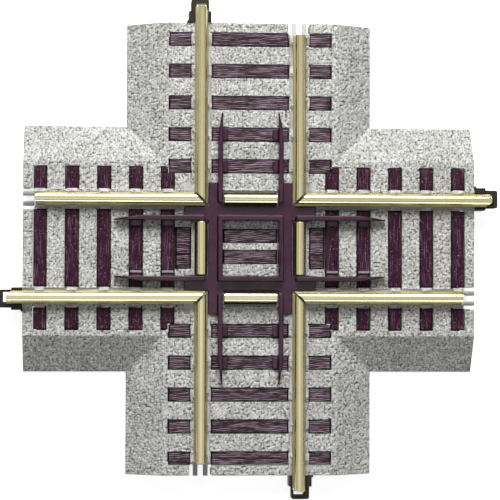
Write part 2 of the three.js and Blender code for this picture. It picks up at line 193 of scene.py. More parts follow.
def make_object(name, form):
    """A new object with a Form's shape, its faces all turned outwards."""
    mesh = bpy.data.meshes.new(name)
    points = np.array(form.points, float) * MM
    mesh.from_pydata(points.tolist(), [], form.faces)
    obj = bpy.data.objects.new(name, mesh)
    bpy.context.scene.collection.objects.link(obj)
    bm = bmesh.new()
    bm.from_mesh(mesh)
    bmesh.ops.recalc_face_normals(bm, faces=bm.faces)
    bm.to_mesh(mesh)
    bm.free()
    return obj


def cad_copy(name, node):
    """A new object with a CAD node's shape, its split corners joined and its flat faces whole."""
    bm = bmesh.new()
    bm.from_mesh(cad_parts[node].data)
    bmesh.ops.remove_doubles(bm, verts=bm.verts, dist=WELD * MM)
    bmesh.ops.dissolve_limit(bm, angle_limit=FLAT_ANGLE, verts=bm.verts, edges=bm.edges)
    mesh = bpy.data.meshes.new(name)
    bm.to_mesh(mesh)
    bm.free()
    obj = bpy.data.objects.new(name, mesh)
    bpy.context.scene.collection.objects.link(obj)
    return obj


def settled(obj):
    """obj with its modifiers applied to its mesh."""
    graph = bpy.context.evaluated_depsgraph_get()
    mesh = bpy.data.meshes.new_from_object(obj.evaluated_get(graph))
    obj.modifiers.clear()
    obj.data = mesh
    return obj


def combined(obj, form, operation):
    """obj after a union with a form, or a difference from it."""
    tool = make_object("tool", form)
    modifier = obj.modifiers.new("combine", "BOOLEAN")
    modifier.operation = operation
    modifier.solver = "MANIFOLD"
    modifier.object = tool
    settled(obj)
    bpy.data.objects.remove(tool)
    return obj


def bevelled(obj, width, segments=2, angle=35.0, clamp=True):
    """obj with rounded edges. clamp narrows the rounding where a short edge leaves no room for it."""
    modifier = obj.modifiers.new("edges", "BEVEL")
    modifier.width = width * MM
    modifier.segments = segments
    modifier.limit_method = "ANGLE"
    modifier.angle_limit = math.radians(angle)
    modifier.miter_outer = "MITER_ARC"
    modifier.use_clamp_overlap = clamp
    return settled(obj)


def weighted(obj):
    """Keeps wide flat faces looking flat where they meet rounded edges."""
    modifier = obj.modifiers.new("normals", "WEIGHTED_NORMAL")
    modifier.keep_sharp = True
    modifier.weight = 100
    return obj


def smoothed(obj, angle):
    """Shades the faces as one surface, except across edges sharper than the angle, in degrees."""
    mesh = obj.data
    mesh.polygons.foreach_set("use_smooth", np.ones(len(mesh.polygons), bool))
    mesh.set_sharp_from_angle(angle=math.radians(angle))
    return obj


def point_array(obj):
    """The object's vertices in millimetres."""
    co = np.empty(len(obj.data.vertices) * 3, np.float32)
    obj.data.vertices.foreach_get("co", co)
    return co.reshape(-1, 3).astype(float) / MM


def store(obj, name, values):
    """One number for each vertex, for the material to read."""
    attribute = obj.data.attributes.new(name, "FLOAT", "POINT")
    attribute.data.foreach_set("value", np.asarray(values, np.float32))


def lines(edges, step):
    """Values from the first edge to the last, through every edge, no more than step apart."""
    edges = sorted(set(round(e, 4) for e in edges))
    parts = [
        np.linspace(a, b, max(2, math.ceil((b - a) / step) + 1))[:-1]
        for a, b in zip(edges, edges[1:])
    ]
    return np.concatenate([*parts, [edges[-1]]])


def slab(xs, ys, top, bottom, keep=None):
    """A closed Form on a grid. top and bottom are heights at each (x, y), and keep says which cells
    exist."""
    nx, ny = len(xs), len(ys)
    gx, gy = np.meshgrid(xs, ys, indexing="ij")
    keep = np.ones((nx - 1, ny - 1), bool) if keep is None else keep
    index = np.arange(nx * ny).reshape(nx, ny)
    a, b, c, d = index[:-1, :-1], index[1:, :-1], index[1:, 1:], index[:-1, 1:]
    upper = np.stack([a[keep], b[keep], c[keep], d[keep]], -1)
    lower = upper[:, ::-1] + nx * ny
    padded = np.pad(keep, 1)
    sides = []
    neighbours = ((0, 1, b, c), (0, -1, d, a), (1, 1, c, d), (1, -1, a, b))
    for axis, step, first, second in neighbours:
        beside = np.roll(padded, -step, axis=axis)[1:-1, 1:-1]
        edge = keep & ~beside
        p, q = first[edge], second[edge]
        sides.append(np.stack([p, p + nx * ny, q + nx * ny, q], -1))
    faces = np.concatenate([upper, lower, *sides])
    points = np.concatenate(
        [
            np.stack([gx.ravel(), gy.ravel(), top.ravel()], -1),
            np.stack([gx.ravel(), gy.ravel(), bottom.ravel()], -1),
        ]
    )
    used = np.unique(faces)
    renumber = np.zeros(len(points), int)
    renumber[used] = np.arange(len(used))
    form = Form()
    form.points = [tuple(p) for p in points[used].tolist()]
    form.faces = [tuple(f) for f in renumber[faces].tolist()]
    return form


# ---- noise -----------------------------------------------------------------------------------

NOISE_CELLS = 256
STONE = 0.5
STONE_HEIGHT = 0.44
STONE_SEED = 21


def value_noise(x, y, size, seed):
    """Smooth noise from 0 to 1 whose lumps are about that size across."""
    table = np.random.default_rng(seed).random((NOISE_CELLS, NOISE_CELLS))
    u, v = x / size, y / size
    i, j = np.floor(u).astype(int), np.floor(v).astype(int)
    fu, fv = u - i, v - j
    fu, fv = fu * fu * (3 - 2 * fu), fv * fv * (3 - 2 * fv)

    def at(a, b):
        return table[(i + a) % NOISE_CELLS, (j + b) % NOISE_CELLS]

    low_row = at(0, 0) * (1 - fu) + at(1, 0) * fu
    high_row = at(0, 1) * (1 - fu) + at(1, 1) * fu
    return low_row * (1 - fv) + high_row * fv


def stones(x, y):
    """Heights of rounded stones, packed without order, and a random tone for each."""
    seeds = np.random.default_rng(STONE_SEED)
    count = NOISE_CELLS
    dx, dy = seeds.random((2, count, count))
    size = 0.5 + 0.5 * seeds.random((count, count))
    tone = seeds.random((count, count))
    i, j = np.floor(x / STONE).astype(int), np.floor(y / STONE).astype(int)
    height = np.zeros_like(x)
    shade = np.zeros_like(x)
    for a in (-1, 0, 1):
        for b in (-1, 0, 1):
            p, q = (i + a) % count, (j + b) % count
            cx = (i + a + 0.15 + 0.7 * dx[p, q]) * STONE
            cy = (j + b + 0.15 + 0.7 * dy[p, q]) * STONE
            radius = STONE * (0.45 + 0.3 * size[p, q])
            rise = 1 - ((x - cx) ** 2 + (y - cy) ** 2) / radius**2
            this = np.sqrt(np.clip(rise, 0, 1)) * (0.35 + 0.65 * size[p, q])
            higher = this > height
            height = np.where(higher, this, height)
            shade = np.where(higher, tone[p, q], shade)
    return height, shade


# ---- roadbed ---------------------------------------------------------------------------------

SKIN_STEP = 0.2
SKIN_INSET = 0.05
SKIN_LIFT = 0.03
SKIN_DEPTH = 0.5
SKIN_SUNK = 0.15
SMOOTH_STRIP = 0.5
PLAIN_TONE = 0.5
PLAIN_HEIGHT = 0.75
FAR_OFF = 100
CHAIR_DROP = 0.65
SPIKE_RADIUS = 0.3
SPIKE_TOP = CHAIR_TOP + 0.32
SPIKE_STAGGER = 0.55


def arm_frame(x, y):
    """For each point, how far it is along its own arm, and how far to the right of the arm's axis."""
    along = np.maximum(np.abs(x), np.abs(y))
    north, west, south = (y == along), (x == -along), (y == -along)
    right = np.select([north, west, south], [x, y, -x], -y)
    return along, right


def bare_height(x, y):
    """The top of the plain moulding: the deck, its shoulders and the raised rail seats."""
    along, right = arm_frame(x, y)
    drop = (DECK_TOP - BASE_LIP) / (BASE_HALF - DECK_HALF)
    ground = DECK_TOP - drop * np.clip(np.abs(right) - DECK_HALF, 0, None)
    from_rail = np.minimum(
        np.abs(np.abs(right) - RAIL_LINE) + FAR_OFF * (along < RAIL_LINE - SEAT_HALF),
        np.abs(along - RAIL_LINE) + FAR_OFF * (np.abs(right) > CLOSURE_HALF + 0.1),
    )
    return np.where(from_rail < SEAT_HALF, SEAT_TOP, ground)


def is_smooth(x, y):
    """True where the moulding has no stones: by and under the rails and the guard, and on the pads."""
    along, right = arm_frame(x, y)
    off = np.abs(right)
    under_rail = (off > RAIL_LINE - FOOT_HALF - SMOOTH_STRIP) & (off < RAIL_LINE + FOOT_HALF + 0.1)
    under_rail &= along > RAIL_LINE - FOOT_HALF
    under_closure = (along > FLOOR_EDGE) & (along < RAIL_LINE + FOOT_HALF + SMOOTH_STRIP)
    under_closure &= off < CLOSURE_HALF + 0.5
    pad = (off > FLOOR_EDGE) & (off < PAD_END) & (along < PAD_END)
    guard = (off > GUARD_INNER) & (off < FLOOR_EDGE + 0.1) & (along < PAD_END)
    guard |= (along > GUARD_INNER) & (along < FLOOR_EDGE + 0.1)
    return under_rail | under_closure | pad | guard


def windows():
    """The openings in the deck as (x span, y span), each a little larger than its tie."""
    half = TIE_WIDTH / 2 + TIE_GROOVE
    found = []
    for quarters in range(4):
        for along in TIE_CENTRES:
            for a, b in TIE_SPANS:
                corners = [(a - TIE_GROOVE, along - half), (b + TIE_GROOVE, along + half)]
                found.append(turned_box(corners, quarters))
        notch = [(RAIL_LINE - NOTCH_HALF, ARM_END - NOTCH_DEPTH), (RAIL_LINE + NOTCH_HALF, ARM_END)]
        found.append(turned_box(notch, quarters))
    reach = CENTRE_TIE_HALF + TIE_GROOVE
    found += [((-reach, reach), (y - half, y + half)) for y in CENTRE_TIES]
    y = (SIDE_TIE_Y[1][0] - TIE_GROOVE, SIDE_TIE_Y[0][1] + TIE_GROOVE)
    for side in (-1, 1):
        x = sorted((side * (SIDE_TIE_X[0] - TIE_GROOVE), side * (SIDE_TIE_X[1] + TIE_GROOVE)))
        found.append((x, y))
    return found


def turned_box(corners, quarters):
    """The (x span, y span) of a box between two corners, turned by quarter turns."""
    for _ in range(quarters):
        corners = [(-y, x) for x, y in corners]
    (x0, y0), (x1, y1) = corners
    return (min(x0, x1), max(x0, x1)), (min(y0, y1), max(y0, y1))


def ballast_skin():
    """A thin layer of stones over the whole moulding, open where the deck has its windows."""
    end, base = ARM_END - SKIN_INSET, BASE_HALF - SKIN_INSET
    holes = windows()
    edges = [-end, end, -base, base, -DECK_HALF, DECK_HALF]
    xs = lines(edges + [v for x, _ in holes for v in x if abs(v) < end], SKIN_STEP)
    ys = lines(edges + [v for _, y in holes for v in y if abs(v) < end], SKIN_STEP)
    cx, cy = np.meshgrid((xs[1:] + xs[:-1]) / 2, (ys[1:] + ys[:-1]) / 2, indexing="ij")
    keep = np.minimum(np.abs(cx), np.abs(cy)) < base
    for (x0, x1), (y0, y1) in holes:
        keep &= ~((cx > x0) & (cx < x1) & (cy > y0) & (cy < y1))
    gx, gy = np.meshgrid(xs, ys, indexing="ij")
    bare = bare_height(gx, gy)
    height, _ = stones(gx, gy)
    worn = 0.75 + 0.5 * value_noise(gx, gy, 5.0, 5)
    top = bare + SKIN_LIFT + STONE_HEIGHT * height * worn
    top = np.where(is_smooth(gx, gy), bare - SKIN_SUNK, top)
    return slab(xs, ys, top, bare - SKIN_DEPTH, keep)


def chair(side, face, y):
    """The wedge of a rail chair at one tie. face says which side of the rail it stands on."""
    half = CHAIR_LENGTH / 2
    inner = side * RAIL_LINE + face * (FOOT_HALF + 0.05)
    outer = side * RAIL_LINE + face * (SEAT_HALF + 0.02)
    points = []
    for x, z, length in ((inner, CHAIR_TOP, half - 0.12), (outer, CHAIR_TOP - CHAIR_DROP, half - 0.22)):
        points += [(x, y - length, z), (x, y + length, z)]
    points += [(x, y + s * half, SEAT_TOP - 0.2) for x in (inner, outer) for s in (-1, 1)]
    faces = [(0, 1, 3, 2), (4, 5, 7, 6), (0, 1, 5, 4), (2, 3, 7, 6), (0, 2, 6, 4), (1, 3, 7, 5)]
    return Form().add(points, faces)


def spike(side, face, y):
    """The round head on a chair that holds the rail's foot. The two at one tie are staggered."""
    x = side * RAIL_LINE + face * (FOOT_HALF + 0.12)
    stagger = SPIKE_STAGGER if side == face else -SPIKE_STAGGER
    return Form().dome((x, y + stagger), SPIKE_RADIUS, (SEAT_TOP, SPIKE_TOP))


def chair_clearing(side, face, y):
    """The room that a chair of the visual model takes from the plain one of the CAD."""
    x = sorted(side * RAIL_LINE + face * v for v in (FOOT_HALF + 0.02, SEAT_HALF + 0.1))
    half = CHAIR_LENGTH / 2 + 0.15
    return Form().block(x, (y - half, y + half), (SEAT_TOP, CHAIR_TOP + 0.2))


def on_every_chair(shape):
    """One Form of a shape at every chair of the four arms."""
    total = Form()
    for quarters in range(4):
        arm = Form()
        for y in TIE_CENTRES:
            for side in SIDES.values():
                for face in (-1, 1):
                    arm.joined(shape(side, face, y))
        total.joined(arm.turned(quarters))
    return total


def build_roadbed():
    obj = cad_copy("roadbed_moulding", "roadbed")
    combined(obj, on_every_chair(chair_clearing), "DIFFERENCE")
    combined(obj, on_every_chair(chair), "UNION")
    combined(obj, on_every_chair(spike), "UNION")
    combined(obj, ballast_skin(), "UNION")
    points = point_array(obj)
    x, y, z = points.T
    height, tone = stones(x, y)
    rough = (z > bare_height(x, y) + 0.5 * SKIN_LIFT) & ~is_smooth(x, y)
    # The stone heights also set the painted shade in the gaps between stones.
    store(obj, "stone", np.where(rough, height, PLAIN_HEIGHT))
    store(obj, "tone", np.where(rough, tone, PLAIN_TONE))
    return smoothed(obj, 50)


# ---- ties ------------------------------------------------------------------------------------

# Depths of the grain, the distance from one grain line to the next, and the size of the slow and
# the quick bends in the lines, as (height, length).
COARSE_GRAIN = 0.26
FINE_GRAIN = 0.16
GRAIN_PITCH = 0.45
SLOW_BEND = (0.5, 5.0)
QUICK_BEND = (0.3, 2.2)
STEP_ACROSS = 0.085
STEP_ALONG = 0.32


def grain(along, across, seed, strength):
    """The height of moulded wood grain, which runs along the tie and bows round a few knots."""
    bow = SLOW_BEND[0] * value_noise(along, across * 0 + seed, SLOW_BEND[1], seed)
    bow = bow + QUICK_BEND[0] * value_noise(along, across, QUICK_BEND[1], seed + 1)
    phase = across + bow
    line = 0.5 + 0.5 * np.sin(2 * np.pi * phase / GRAIN_PITCH)
    ridge = value_noise(phase, along * 0.06 + seed, 0.2, seed + 2)
    fine = value_noise(along, phase * 4.0, 0.9, seed + 3)
    return strength * (0.4 * line + 0.35 * ridge + 0.25 * fine)


def tie_slab(x, y, seed, strength):
    """One tie top with moulded grain that runs along X."""
    xs = lines(x, STEP_ALONG)
    ys = lines(y, STEP_ACROSS)
    gx, gy = np.meshgrid(xs, ys, indexing="ij")
    top = TIE_TOP - strength + grain(gx, gy, seed, strength)
    rim = np.minimum.reduce([gx - x[0], x[1] - gx, gy - y[0], y[1] - gy])
    top = np.where(rim < 0.02, TIE_TOP - strength - 0.05, top)
    return slab(xs, ys, top, np.full_like(top, TIE_TOP - 0.6))


def tie_boxes(crossing):
    """Each tie of one arm as (x span, y span). crossing is for the east and west arms, whose
    innermost ties are cut back at the corners by the ties of the other track."""
    for i, along in enumerate(TIE_CENTRES):
        y = (along - TIE_WIDTH / 2, along + TIE_WIDTH / 2)
        for a, b in TIE_SPANS:
            side = -1 if a + b < 0 else 1
            if crossing and i == TIE_COUNT - 1 and (a, b) != TIE_SPANS[1]:
                yield sorted((side * min(abs(a), abs(b)), side * CORNER_TIE_X)), y
                yield sorted((side * CORNER_TIE_X, side * TIE_HALF)), (TIE_HALF + TIE_GROOVE, y[1])
            else:
                yield (a, b), y


def tie_tops(quarters):
    """The tie tops of one arm, as one Form. Those of the east and west arms have finer grain."""
    form = Form()
    crossing = quarters % 2 == 1
    strength = FINE_GRAIN if crossing else COARSE_GRAIN
    for i, (x, y) in enumerate(tie_boxes(crossing)):
        form.joined(tie_slab(x, y, 100 + 40 * quarters + 3 * i, strength))
    return form.turned(quarters)


def build_ties(name, node, tops, strength):
    """A tie piece whose plain tops give way to grained ones, with the grain's height stored."""
    obj = cad_copy(name, node)
    reach = (-ARM_END, ARM_END)
    combined(obj, Form().block(reach, reach, (TIE_TOP - 0.5, TIE_TOP + 1)), "DIFFERENCE")
    combined(obj, tops, "UNION")
    above = point_array(obj)[:, Z] - (TIE_TOP - strength)
    store(obj, "grain", np.clip(above / strength, 0, 1))
    return smoothed(obj, 60)


def centre_tie_tops():
    form = Form()
    half = TIE_WIDTH / 2
    for i, y in enumerate(CENTRE_TIES):
        span = (-CENTRE_TIE_HALF, CENTRE_TIE_HALF)
        form.joined(tie_slab(span, (y - half, y + half), 300 + i, COARSE_GRAIN))
    return form


def side_tie_tops(side):
    form = Form()
    x = sorted(side * v for v in SIDE_TIE_X)
    for i, y in enumerate(SIDE_TIE_Y):
        form.joined(tie_slab(x, y, 320 + 2 * i + side, COARSE_GRAIN))
    return form


# ---- guard moulding --------------------------------------------------------------------------

FLOOR_TOP = 8.3
WING_FOOT_HALF = 1.4
LIP_WIDTH = 0.65
LIP_TOP = FLOOR_TOP + 0.2
NUBS = ((-0.8, 1), (-0.4, -1))
NUB_RADIUS = 0.32


def foot_lips():
    """Raised lips on the wing feet of the east and west arms, along the edge that faces +Y."""
    form = Form()
    for side in (-1, 1):
        for along in TIE_CENTRES[-2:]:
            x = sorted((side * (along - WING_FOOT_HALF), side * (along + WING_FOOT_HALF)))
            y = -GUARD_INNER + WING_FOOT_WIDTH
            corners = [(y, FLOOR_TOP - 0.05), (y - LIP_WIDTH, FLOOR_TOP - 0.05)]
            corners += [(y - LIP_WIDTH, LIP_TOP), (y - LIP_WIDTH + 0.1, LIP_TOP)]
            points = [(u, *corner) for u in x for corner in corners]
            sides = [(i, (i + 1) % 4, (i + 1) % 4 + 4, i + 4) for i in range(4)]
            form.add(points, sides + [(0, 1, 2, 3), (7, 6, 5, 4)])
    return form


def build_guard():
    """The guard with rounded edges, and the two moulding nubs inside its ring."""
    obj = bevelled(cad_copy("guard_moulding", "guard_frog_moulding"), 0.24, 3, clamp=False)
    combined(obj, foot_lips(), "UNION")
    for x, end in NUBS:
        centre = (x, end * (GUARD_INNER - 0.05))
        nub = Form().dome(centre, NUB_RADIUS, (GUARD_TOP - 2, GUARD_TOP - 0.3))
        combined(obj, nub, "UNION")
    return weighted(smoothed(obj, 60))


# ---- rails -----------------------------------------------------------------------------------

# The head is flat to FLAT_HALF, then falls in facets to FACET_HALF, from the first tilt to the last.
FLAT_HALF = 0.42
FACET_HALF = 0.98
FACETS = 6
FACET_TILTS = (16, 32)
TIP_CUT = 1.3
CREASE = 32


def rail_section():
    """The rail's outline, from one corner of the foot round to the other."""
    half = [(FOOT_HALF, 0.0), (FOOT_HALF, 0.36), (FOOT_HALF - 0.1, 0.44)]
    half += [(WEB_HALF + 0.3, 0.54), (WEB_HALF + 0.08, 0.7), (WEB_HALF, 0.95), (WEB_HALF, 1.85)]
    half += [(WEB_HALF + 0.1, 2.02), (HEAD_HALF - 0.12, 2.26), (HEAD_HALF, 2.4)]
    width = (FACET_HALF - FLAT_HALF) / FACETS
    facet = [(FLAT_HALF, RAIL_HEIGHT)]
    for tilt in np.radians(np.linspace(*FACET_TILTS, FACETS)):
        u, z = facet[-1]
        facet.append((u + width, z - width * math.tan(tilt)))
    u, z = facet[-1]
    facet += [(u + 0.1, z - 0.12), (HEAD_HALF, z - 0.28)]
    half += facet[::-1] + [(0.0, RAIL_HEIGHT)]
    left = [(-u, z) for u, z in reversed(half[:-1])]
    return [(u, z + RAIL_BASE) for u, z in half + left]


def running_rail(side):
    """The bar of one running rail of the north arm, from its mitre to its tip."""
    section = [(u + side * RAIL_LINE, z) for u, z in rail_section()]
    gap = MITRE_GAP / math.sqrt(2)
    tip = MALE_TIP if side == SIDES["left"] else FEMALE_TIP
    return Form().bar(section, lambda u: abs(u) + gap, lambda u: tip)


def pin(x, y):
    """The pin that reaches from a rail's foot down to its jumper bar."""
    spans = [(v - PIN_HALF, v + PIN_HALF) for v in (x, y)]
    return Form().block(*spans, (PIN_BOTTOM, RAIL_BASE + 0.2))


def tip_chamfer():
    """The corner cut off a projecting rail end, on the side towards the middle of the track."""
    corner = (-RAIL_LINE + FOOT_HALF + 0.1, MALE_TIP + 0.1)
    outline = [corner, (corner[0] - TIP_CUT, corner[1]), (corner[0], corner[1] - TIP_CUT)]
    return Form().prism(outline, (RAIL_BASE - 1, RAIL_TOP + 1))


def build_running_rail(arm, side_name):
    side = SIDES[side_name]
    quarters = ARMS[arm]
    obj = make_object(f"rail_{arm}_{side_name}_bar", running_rail(side).turned(quarters))
    if side_name == "left":
        combined(obj, tip_chamfer().turned(quarters), "DIFFERENCE")
    combined(obj, pin(side * RAIL_LINE, RUNNING_PIN).turned(quarters), "UNION")
    bevelled(obj, 0.06, 1, 50)
    return weighted(smoothed(obj, CREASE))


def build_closure_rail(arm):
    form = Form().bar(rail_section(), lambda u: -CLOSURE_HALF, lambda u: CLOSURE_HALF).turned(1)
    form.points = [(x, y + RAIL_LINE, z) for x, y, z in form.points]
    obj = make_object(f"closure_{arm}_bar", form.turned(ARMS[arm]))
    for side in (-1, 1):
        combined(obj, pin(side * CLOSURE_PIN, RAIL_LINE).turned(ARMS[arm]), "UNION")
    bevelled(obj, 0.12, 2, 50)
    return weighted(smoothed(obj, CREASE))


# ---- materials -------------------------------------------------------------------------------


class Nodes:
    """A material's node tree, with short calls to add to it."""

    def __init__(self, name):
        self.material = bpy.data.materials.new(name)
        self.material.use_nodes = True
        self.tree = self.material.node_tree
        self.shader = self.tree.nodes["Principled BSDF"]
        self.object = self.add("ShaderNodeTexCoord").outputs["Object"]

    def add(self, kind, **settings):
        node = self.tree.nodes.new(kind)
        for key, value in settings.items():
            setattr(node, key, value)
        return node

    def link(self, source, target):
        self.tree.links.new(source, target)

    def parts(self, vector):
        """The three numbers of a vector."""
        node = self.add("ShaderNodeSeparateXYZ")
        self.link(vector, node.inputs[0])
        return node.outputs

    def scaled(self, stretch):
        """Object coordinates, scaled by a number for each axis."""
        mapping = self.add("ShaderNodeMapping")
        mapping.inputs["Scale"].default_value = stretch
        self.link(self.object, mapping.inputs["Vector"])
        return mapping.outputs["Vector"]

    def noise(self, scale, detail=2.0, vector=None):
        """Noise whose lumps are about 1000 / scale millimetres across."""
        node = self.add("ShaderNodeTexNoise")
        node.inputs["Scale"].default_value = scale
        node.inputs["Detail"].default_value = detail
        self.link(vector or self.object, node.inputs["Vector"])
        return node.outputs["Fac"]

    def ramp(self, value, stops):
        """Colours at positions from 0 to 1."""
        node = self.add("ShaderNodeValToRGB")
        elements = node.color_ramp.elements
        while len(elements) < len(stops):
            elements.new(0.5)
        for element, (position, colour) in zip(elements, stops):
            element.position = position
            element.color = (*colour, 1)
        self.link(value, node.inputs["Fac"])
        return node.outputs["Color"]

    def between(self, value, old, new):
        """The value moved from one range to another."""
        node = self.add("ShaderNodeMapRange")
        for socket, number in zip(("From Min", "From Max", "To Min", "To Max"), (*old, *new)):
            node.inputs[socket].default_value = number
        self.link(value, node.inputs["Value"])
        return node.outputs["Result"]

    def maths(self, operation, first, second=0.0):
        """The result of an operation on two values, each a number or another node's output."""
        node = self.add("ShaderNodeMath", operation=operation)
        for socket, source in enumerate((first, second)):
            if hasattr(source, "links"):
                self.link(source, node.inputs[socket])
            else:
                node.inputs[socket].default_value = source
        return node.outputs[0]

    def mix(self, first, second, amount, mode="MIX"):
        """Two colours mixed by an amount. Each of the three can be another node's output."""
        node = self.add("ShaderNodeMix", data_type="RGBA", blend_type=mode)
        for socket, source in ((6, first), (7, second), (0, amount)):
            if hasattr(source, "links"):
                self.link(source, node.inputs[socket])
            elif socket:
                node.inputs[socket].default_value = (*source, 1)
            else:
                node.inputs[socket].default_value = source
        return node.outputs[2]

    def attribute(self, name):
        return self.add("ShaderNodeAttribute", attribute_name=name).outputs["Fac"]

    def bump(self, height, distance, strength=1.0):
        """A bump that many millimetres high, laid over any earlier one."""
        node = self.add("ShaderNodeBump")
        node.inputs["Strength"].default_value = strength
        node.inputs["Distance"].default_value = distance * MM
        self.link(height, node.inputs["Height"])
        earlier = self.shader.inputs["Normal"].links
        if earlier:
            self.link(earlier[0].from_socket, node.inputs["Normal"])
        self.link(node.outputs["Normal"], self.shader.inputs["Normal"])

    def finish(self, colour, rough, metallic=0.0, specular=0.5):
        """The material, once its shader has a colour and a roughness."""
        self.link(colour, self.shader.inputs["Base Color"])
        self.link(rough, self.shader.inputs["Roughness"])
        self.shader.inputs["Metallic"].default_value = metallic
        self.shader.inputs["Specular IOR Level"].default_value = specular
        return self.material


def tint(red, green, blue):
    """A display colour, each part from 0 to 255, as the linear colour that a shader takes."""
    return tuple((v / 255) ** 2.2 for v in (red, green, blue))


WHITE = (1, 1, 1)
PLASTIC_SHINE = 0.2
GUARD_SHINE = 0.36
BALLAST_SHINE = 0.4
FURROW = tint(22, 6, 16)
# Near-black painted shade on the rail ends at the mitres, standing for the deep gap between two rails.
MITRE_GAP_SHADE = tint(8, 7, 6)
HEAD_BOTTOM = RAIL_BASE + 2.0
STONE_TONES = [
    (0.0, tint(194, 194, 189)),
    (0.35, tint(215, 214, 211)),
    (0.7, tint(233, 232, 231)),
    (1.0, tint(247, 248, 246)),
]
# Painted shade between the stones: darker the lower the surface lies in a gap.
STONE_GAP_SHADE = [(0.0, tint(106, 106, 100)), (0.4, tint(200, 200, 196)), (0.8, WHITE)]


def ballast_material():
    """Grey stone-textured plastic, with a random tone for each stone and painted shade in the gaps
    between the stones.
    """
    n = Nodes("ballast_plastic")
    tone = n.ramp(n.attribute("tone"), STONE_TONES)
    gap_shade = n.ramp(n.attribute("stone"), STONE_GAP_SHADE)
    colour = n.mix(tone, gap_shade, 1.0, "MULTIPLY")
    patches = n.ramp(n.noise(110, 3), [(0.35, tint(242, 242, 240)), (0.65, WHITE)])
    colour = n.mix(colour, patches, 1.0, "MULTIPLY")
    n.bump(n.noise(5200, 2), 0.035)
    rough = n.between(n.noise(900), (0.3, 0.7), (0.5, 0.72))
    return n.finish(colour, rough, specular=BALLAST_SHINE)


def tie_material(name, dark, light, ridge, tops, specks):
    """Purple-brown plastic with wood grain: dark furrows, light ridges and a few light specks. tops
    are the heights in the grain between which the ridge's tone comes in."""
    n = Nodes(name)
    height = n.attribute("grain")
    body = n.ramp(n.noise(700, 4), [(0.35, dark), (0.7, light)])
    body = n.mix(FURROW, body, n.between(height, (0.15, 0.5), (0.0, 1.0)))
    raised = n.between(height, tops, (0.0, 1.0))
    speck = n.between(n.noise(2200, 1), (0.65, 0.74), (0.0, specks))
    colour = n.mix(body, ridge, n.maths("MAXIMUM", raised, speck))
    n.bump(n.noise(3600, 3), 0.03)
    rough = n.between(n.noise(1500), (0.3, 0.7), (0.4, 0.6))
    return n.finish(colour, rough, specular=PLASTIC_SHINE)


def steepness(n):
    """0 on a level surface, 1 on one that stands steeper than 60 degrees."""
    upward = n.parts(n.add("ShaderNodeNewGeometry").outputs["Normal"])[Z]
    return n.between(upward, (0.5, 0.95), (1.0, 0.0))


def plastic_material(name, dark, light, rough, bump=0.012, shine=PLASTIC_SHINE, wall_shade=None):
    """Moulded plastic with a faint mottle and a fine surface texture. Where a wall tone is given, it is
    painted shade laid on the steep sides, darker the steeper they stand."""
    n = Nodes(name)
    colour = n.ramp(n.noise(260, 5), [(0.3, dark), (0.7, light)])
    if wall_shade:
        # Painted shade on the steep sides.
        colour = n.mix(colour, wall_shade, steepness(n))
    n.bump(n.noise(2600, 3), bump)
    rough = n.between(n.noise(600, 3), (0.3, 0.7), rough)
    return n.finish(colour, rough, specular=shine)


def mitre_shade_mask(n):
    """1 on the sawn ends where two rails meet at a corner of the crossing, 0 elsewhere. It masks the
    painted shade on those ends.
    """
    x, y = (n.maths("ABSOLUTE", n.parts(n.object)[axis]) for axis in (X, Y))
    apart = n.maths("ABSOLUTE", n.maths("SUBTRACT", x, y))
    return n.maths("LESS_THAN", apart, (MITRE_GAP / math.sqrt(2) + 0.05) * MM)


def below_head(n):
    """1 on the foot and web of a rail, 0 on its head."""
    return n.maths("LESS_THAN", n.parts(n.object)[Z], HEAD_BOTTOM * MM)


def metal_material(name, dark, light, rough, stretch, bump=0.0015):
    """Drawn metal, with fine lines that run the way it was drawn."""
    n = Nodes(name)
    drawn = n.noise(1.0, 2, n.scaled(stretch))
    cloud = n.noise(90, 3)
    colour = n.ramp(n.mix(drawn, cloud, 0.5), [(0.3, dark), (0.7, light)])
    n.bump(drawn, bump)
    return n.finish(colour, n.between(drawn, (0.25, 0.75), rough), metallic=1.0)


def rail_material(name, stretch, foot):
    """Nickel silver: a polished head, a foot and web in the given foot tone, and painted shade on the
    ends at the mitres. The foot tone is a duller metal on the running rails and painted shade on the
    closure rails.
    """
    n = Nodes(name)
    drawn = n.noise(1.0, 2, n.scaled(stretch))
    shade = n.mix(drawn, n.noise(90, 3), 0.5)
    colour = n.ramp(shade, [(0.3, tint(203, 194, 154)), (0.7, tint(212, 205, 168))])
    # The foot and web take the foot tone, which on the closure rails is painted shade.
    lower = below_head(n)
    colour = n.mix(colour, foot, lower)
    # Painted shade: the rail ends at each mitre are made near-black, as the deep gap between the rails
    # would be.
    colour = n.mix(colour, MITRE_GAP_SHADE, mitre_shade_mask(n))
    n.bump(drawn, 0.0003)
    polish = n.between(drawn, (0.25, 0.75), (0.13, 0.17))
    rough = n.maths("ADD", polish, n.maths("MULTIPLY", lower, 0.3))
    return n.finish(colour, rough, metallic=1.0)


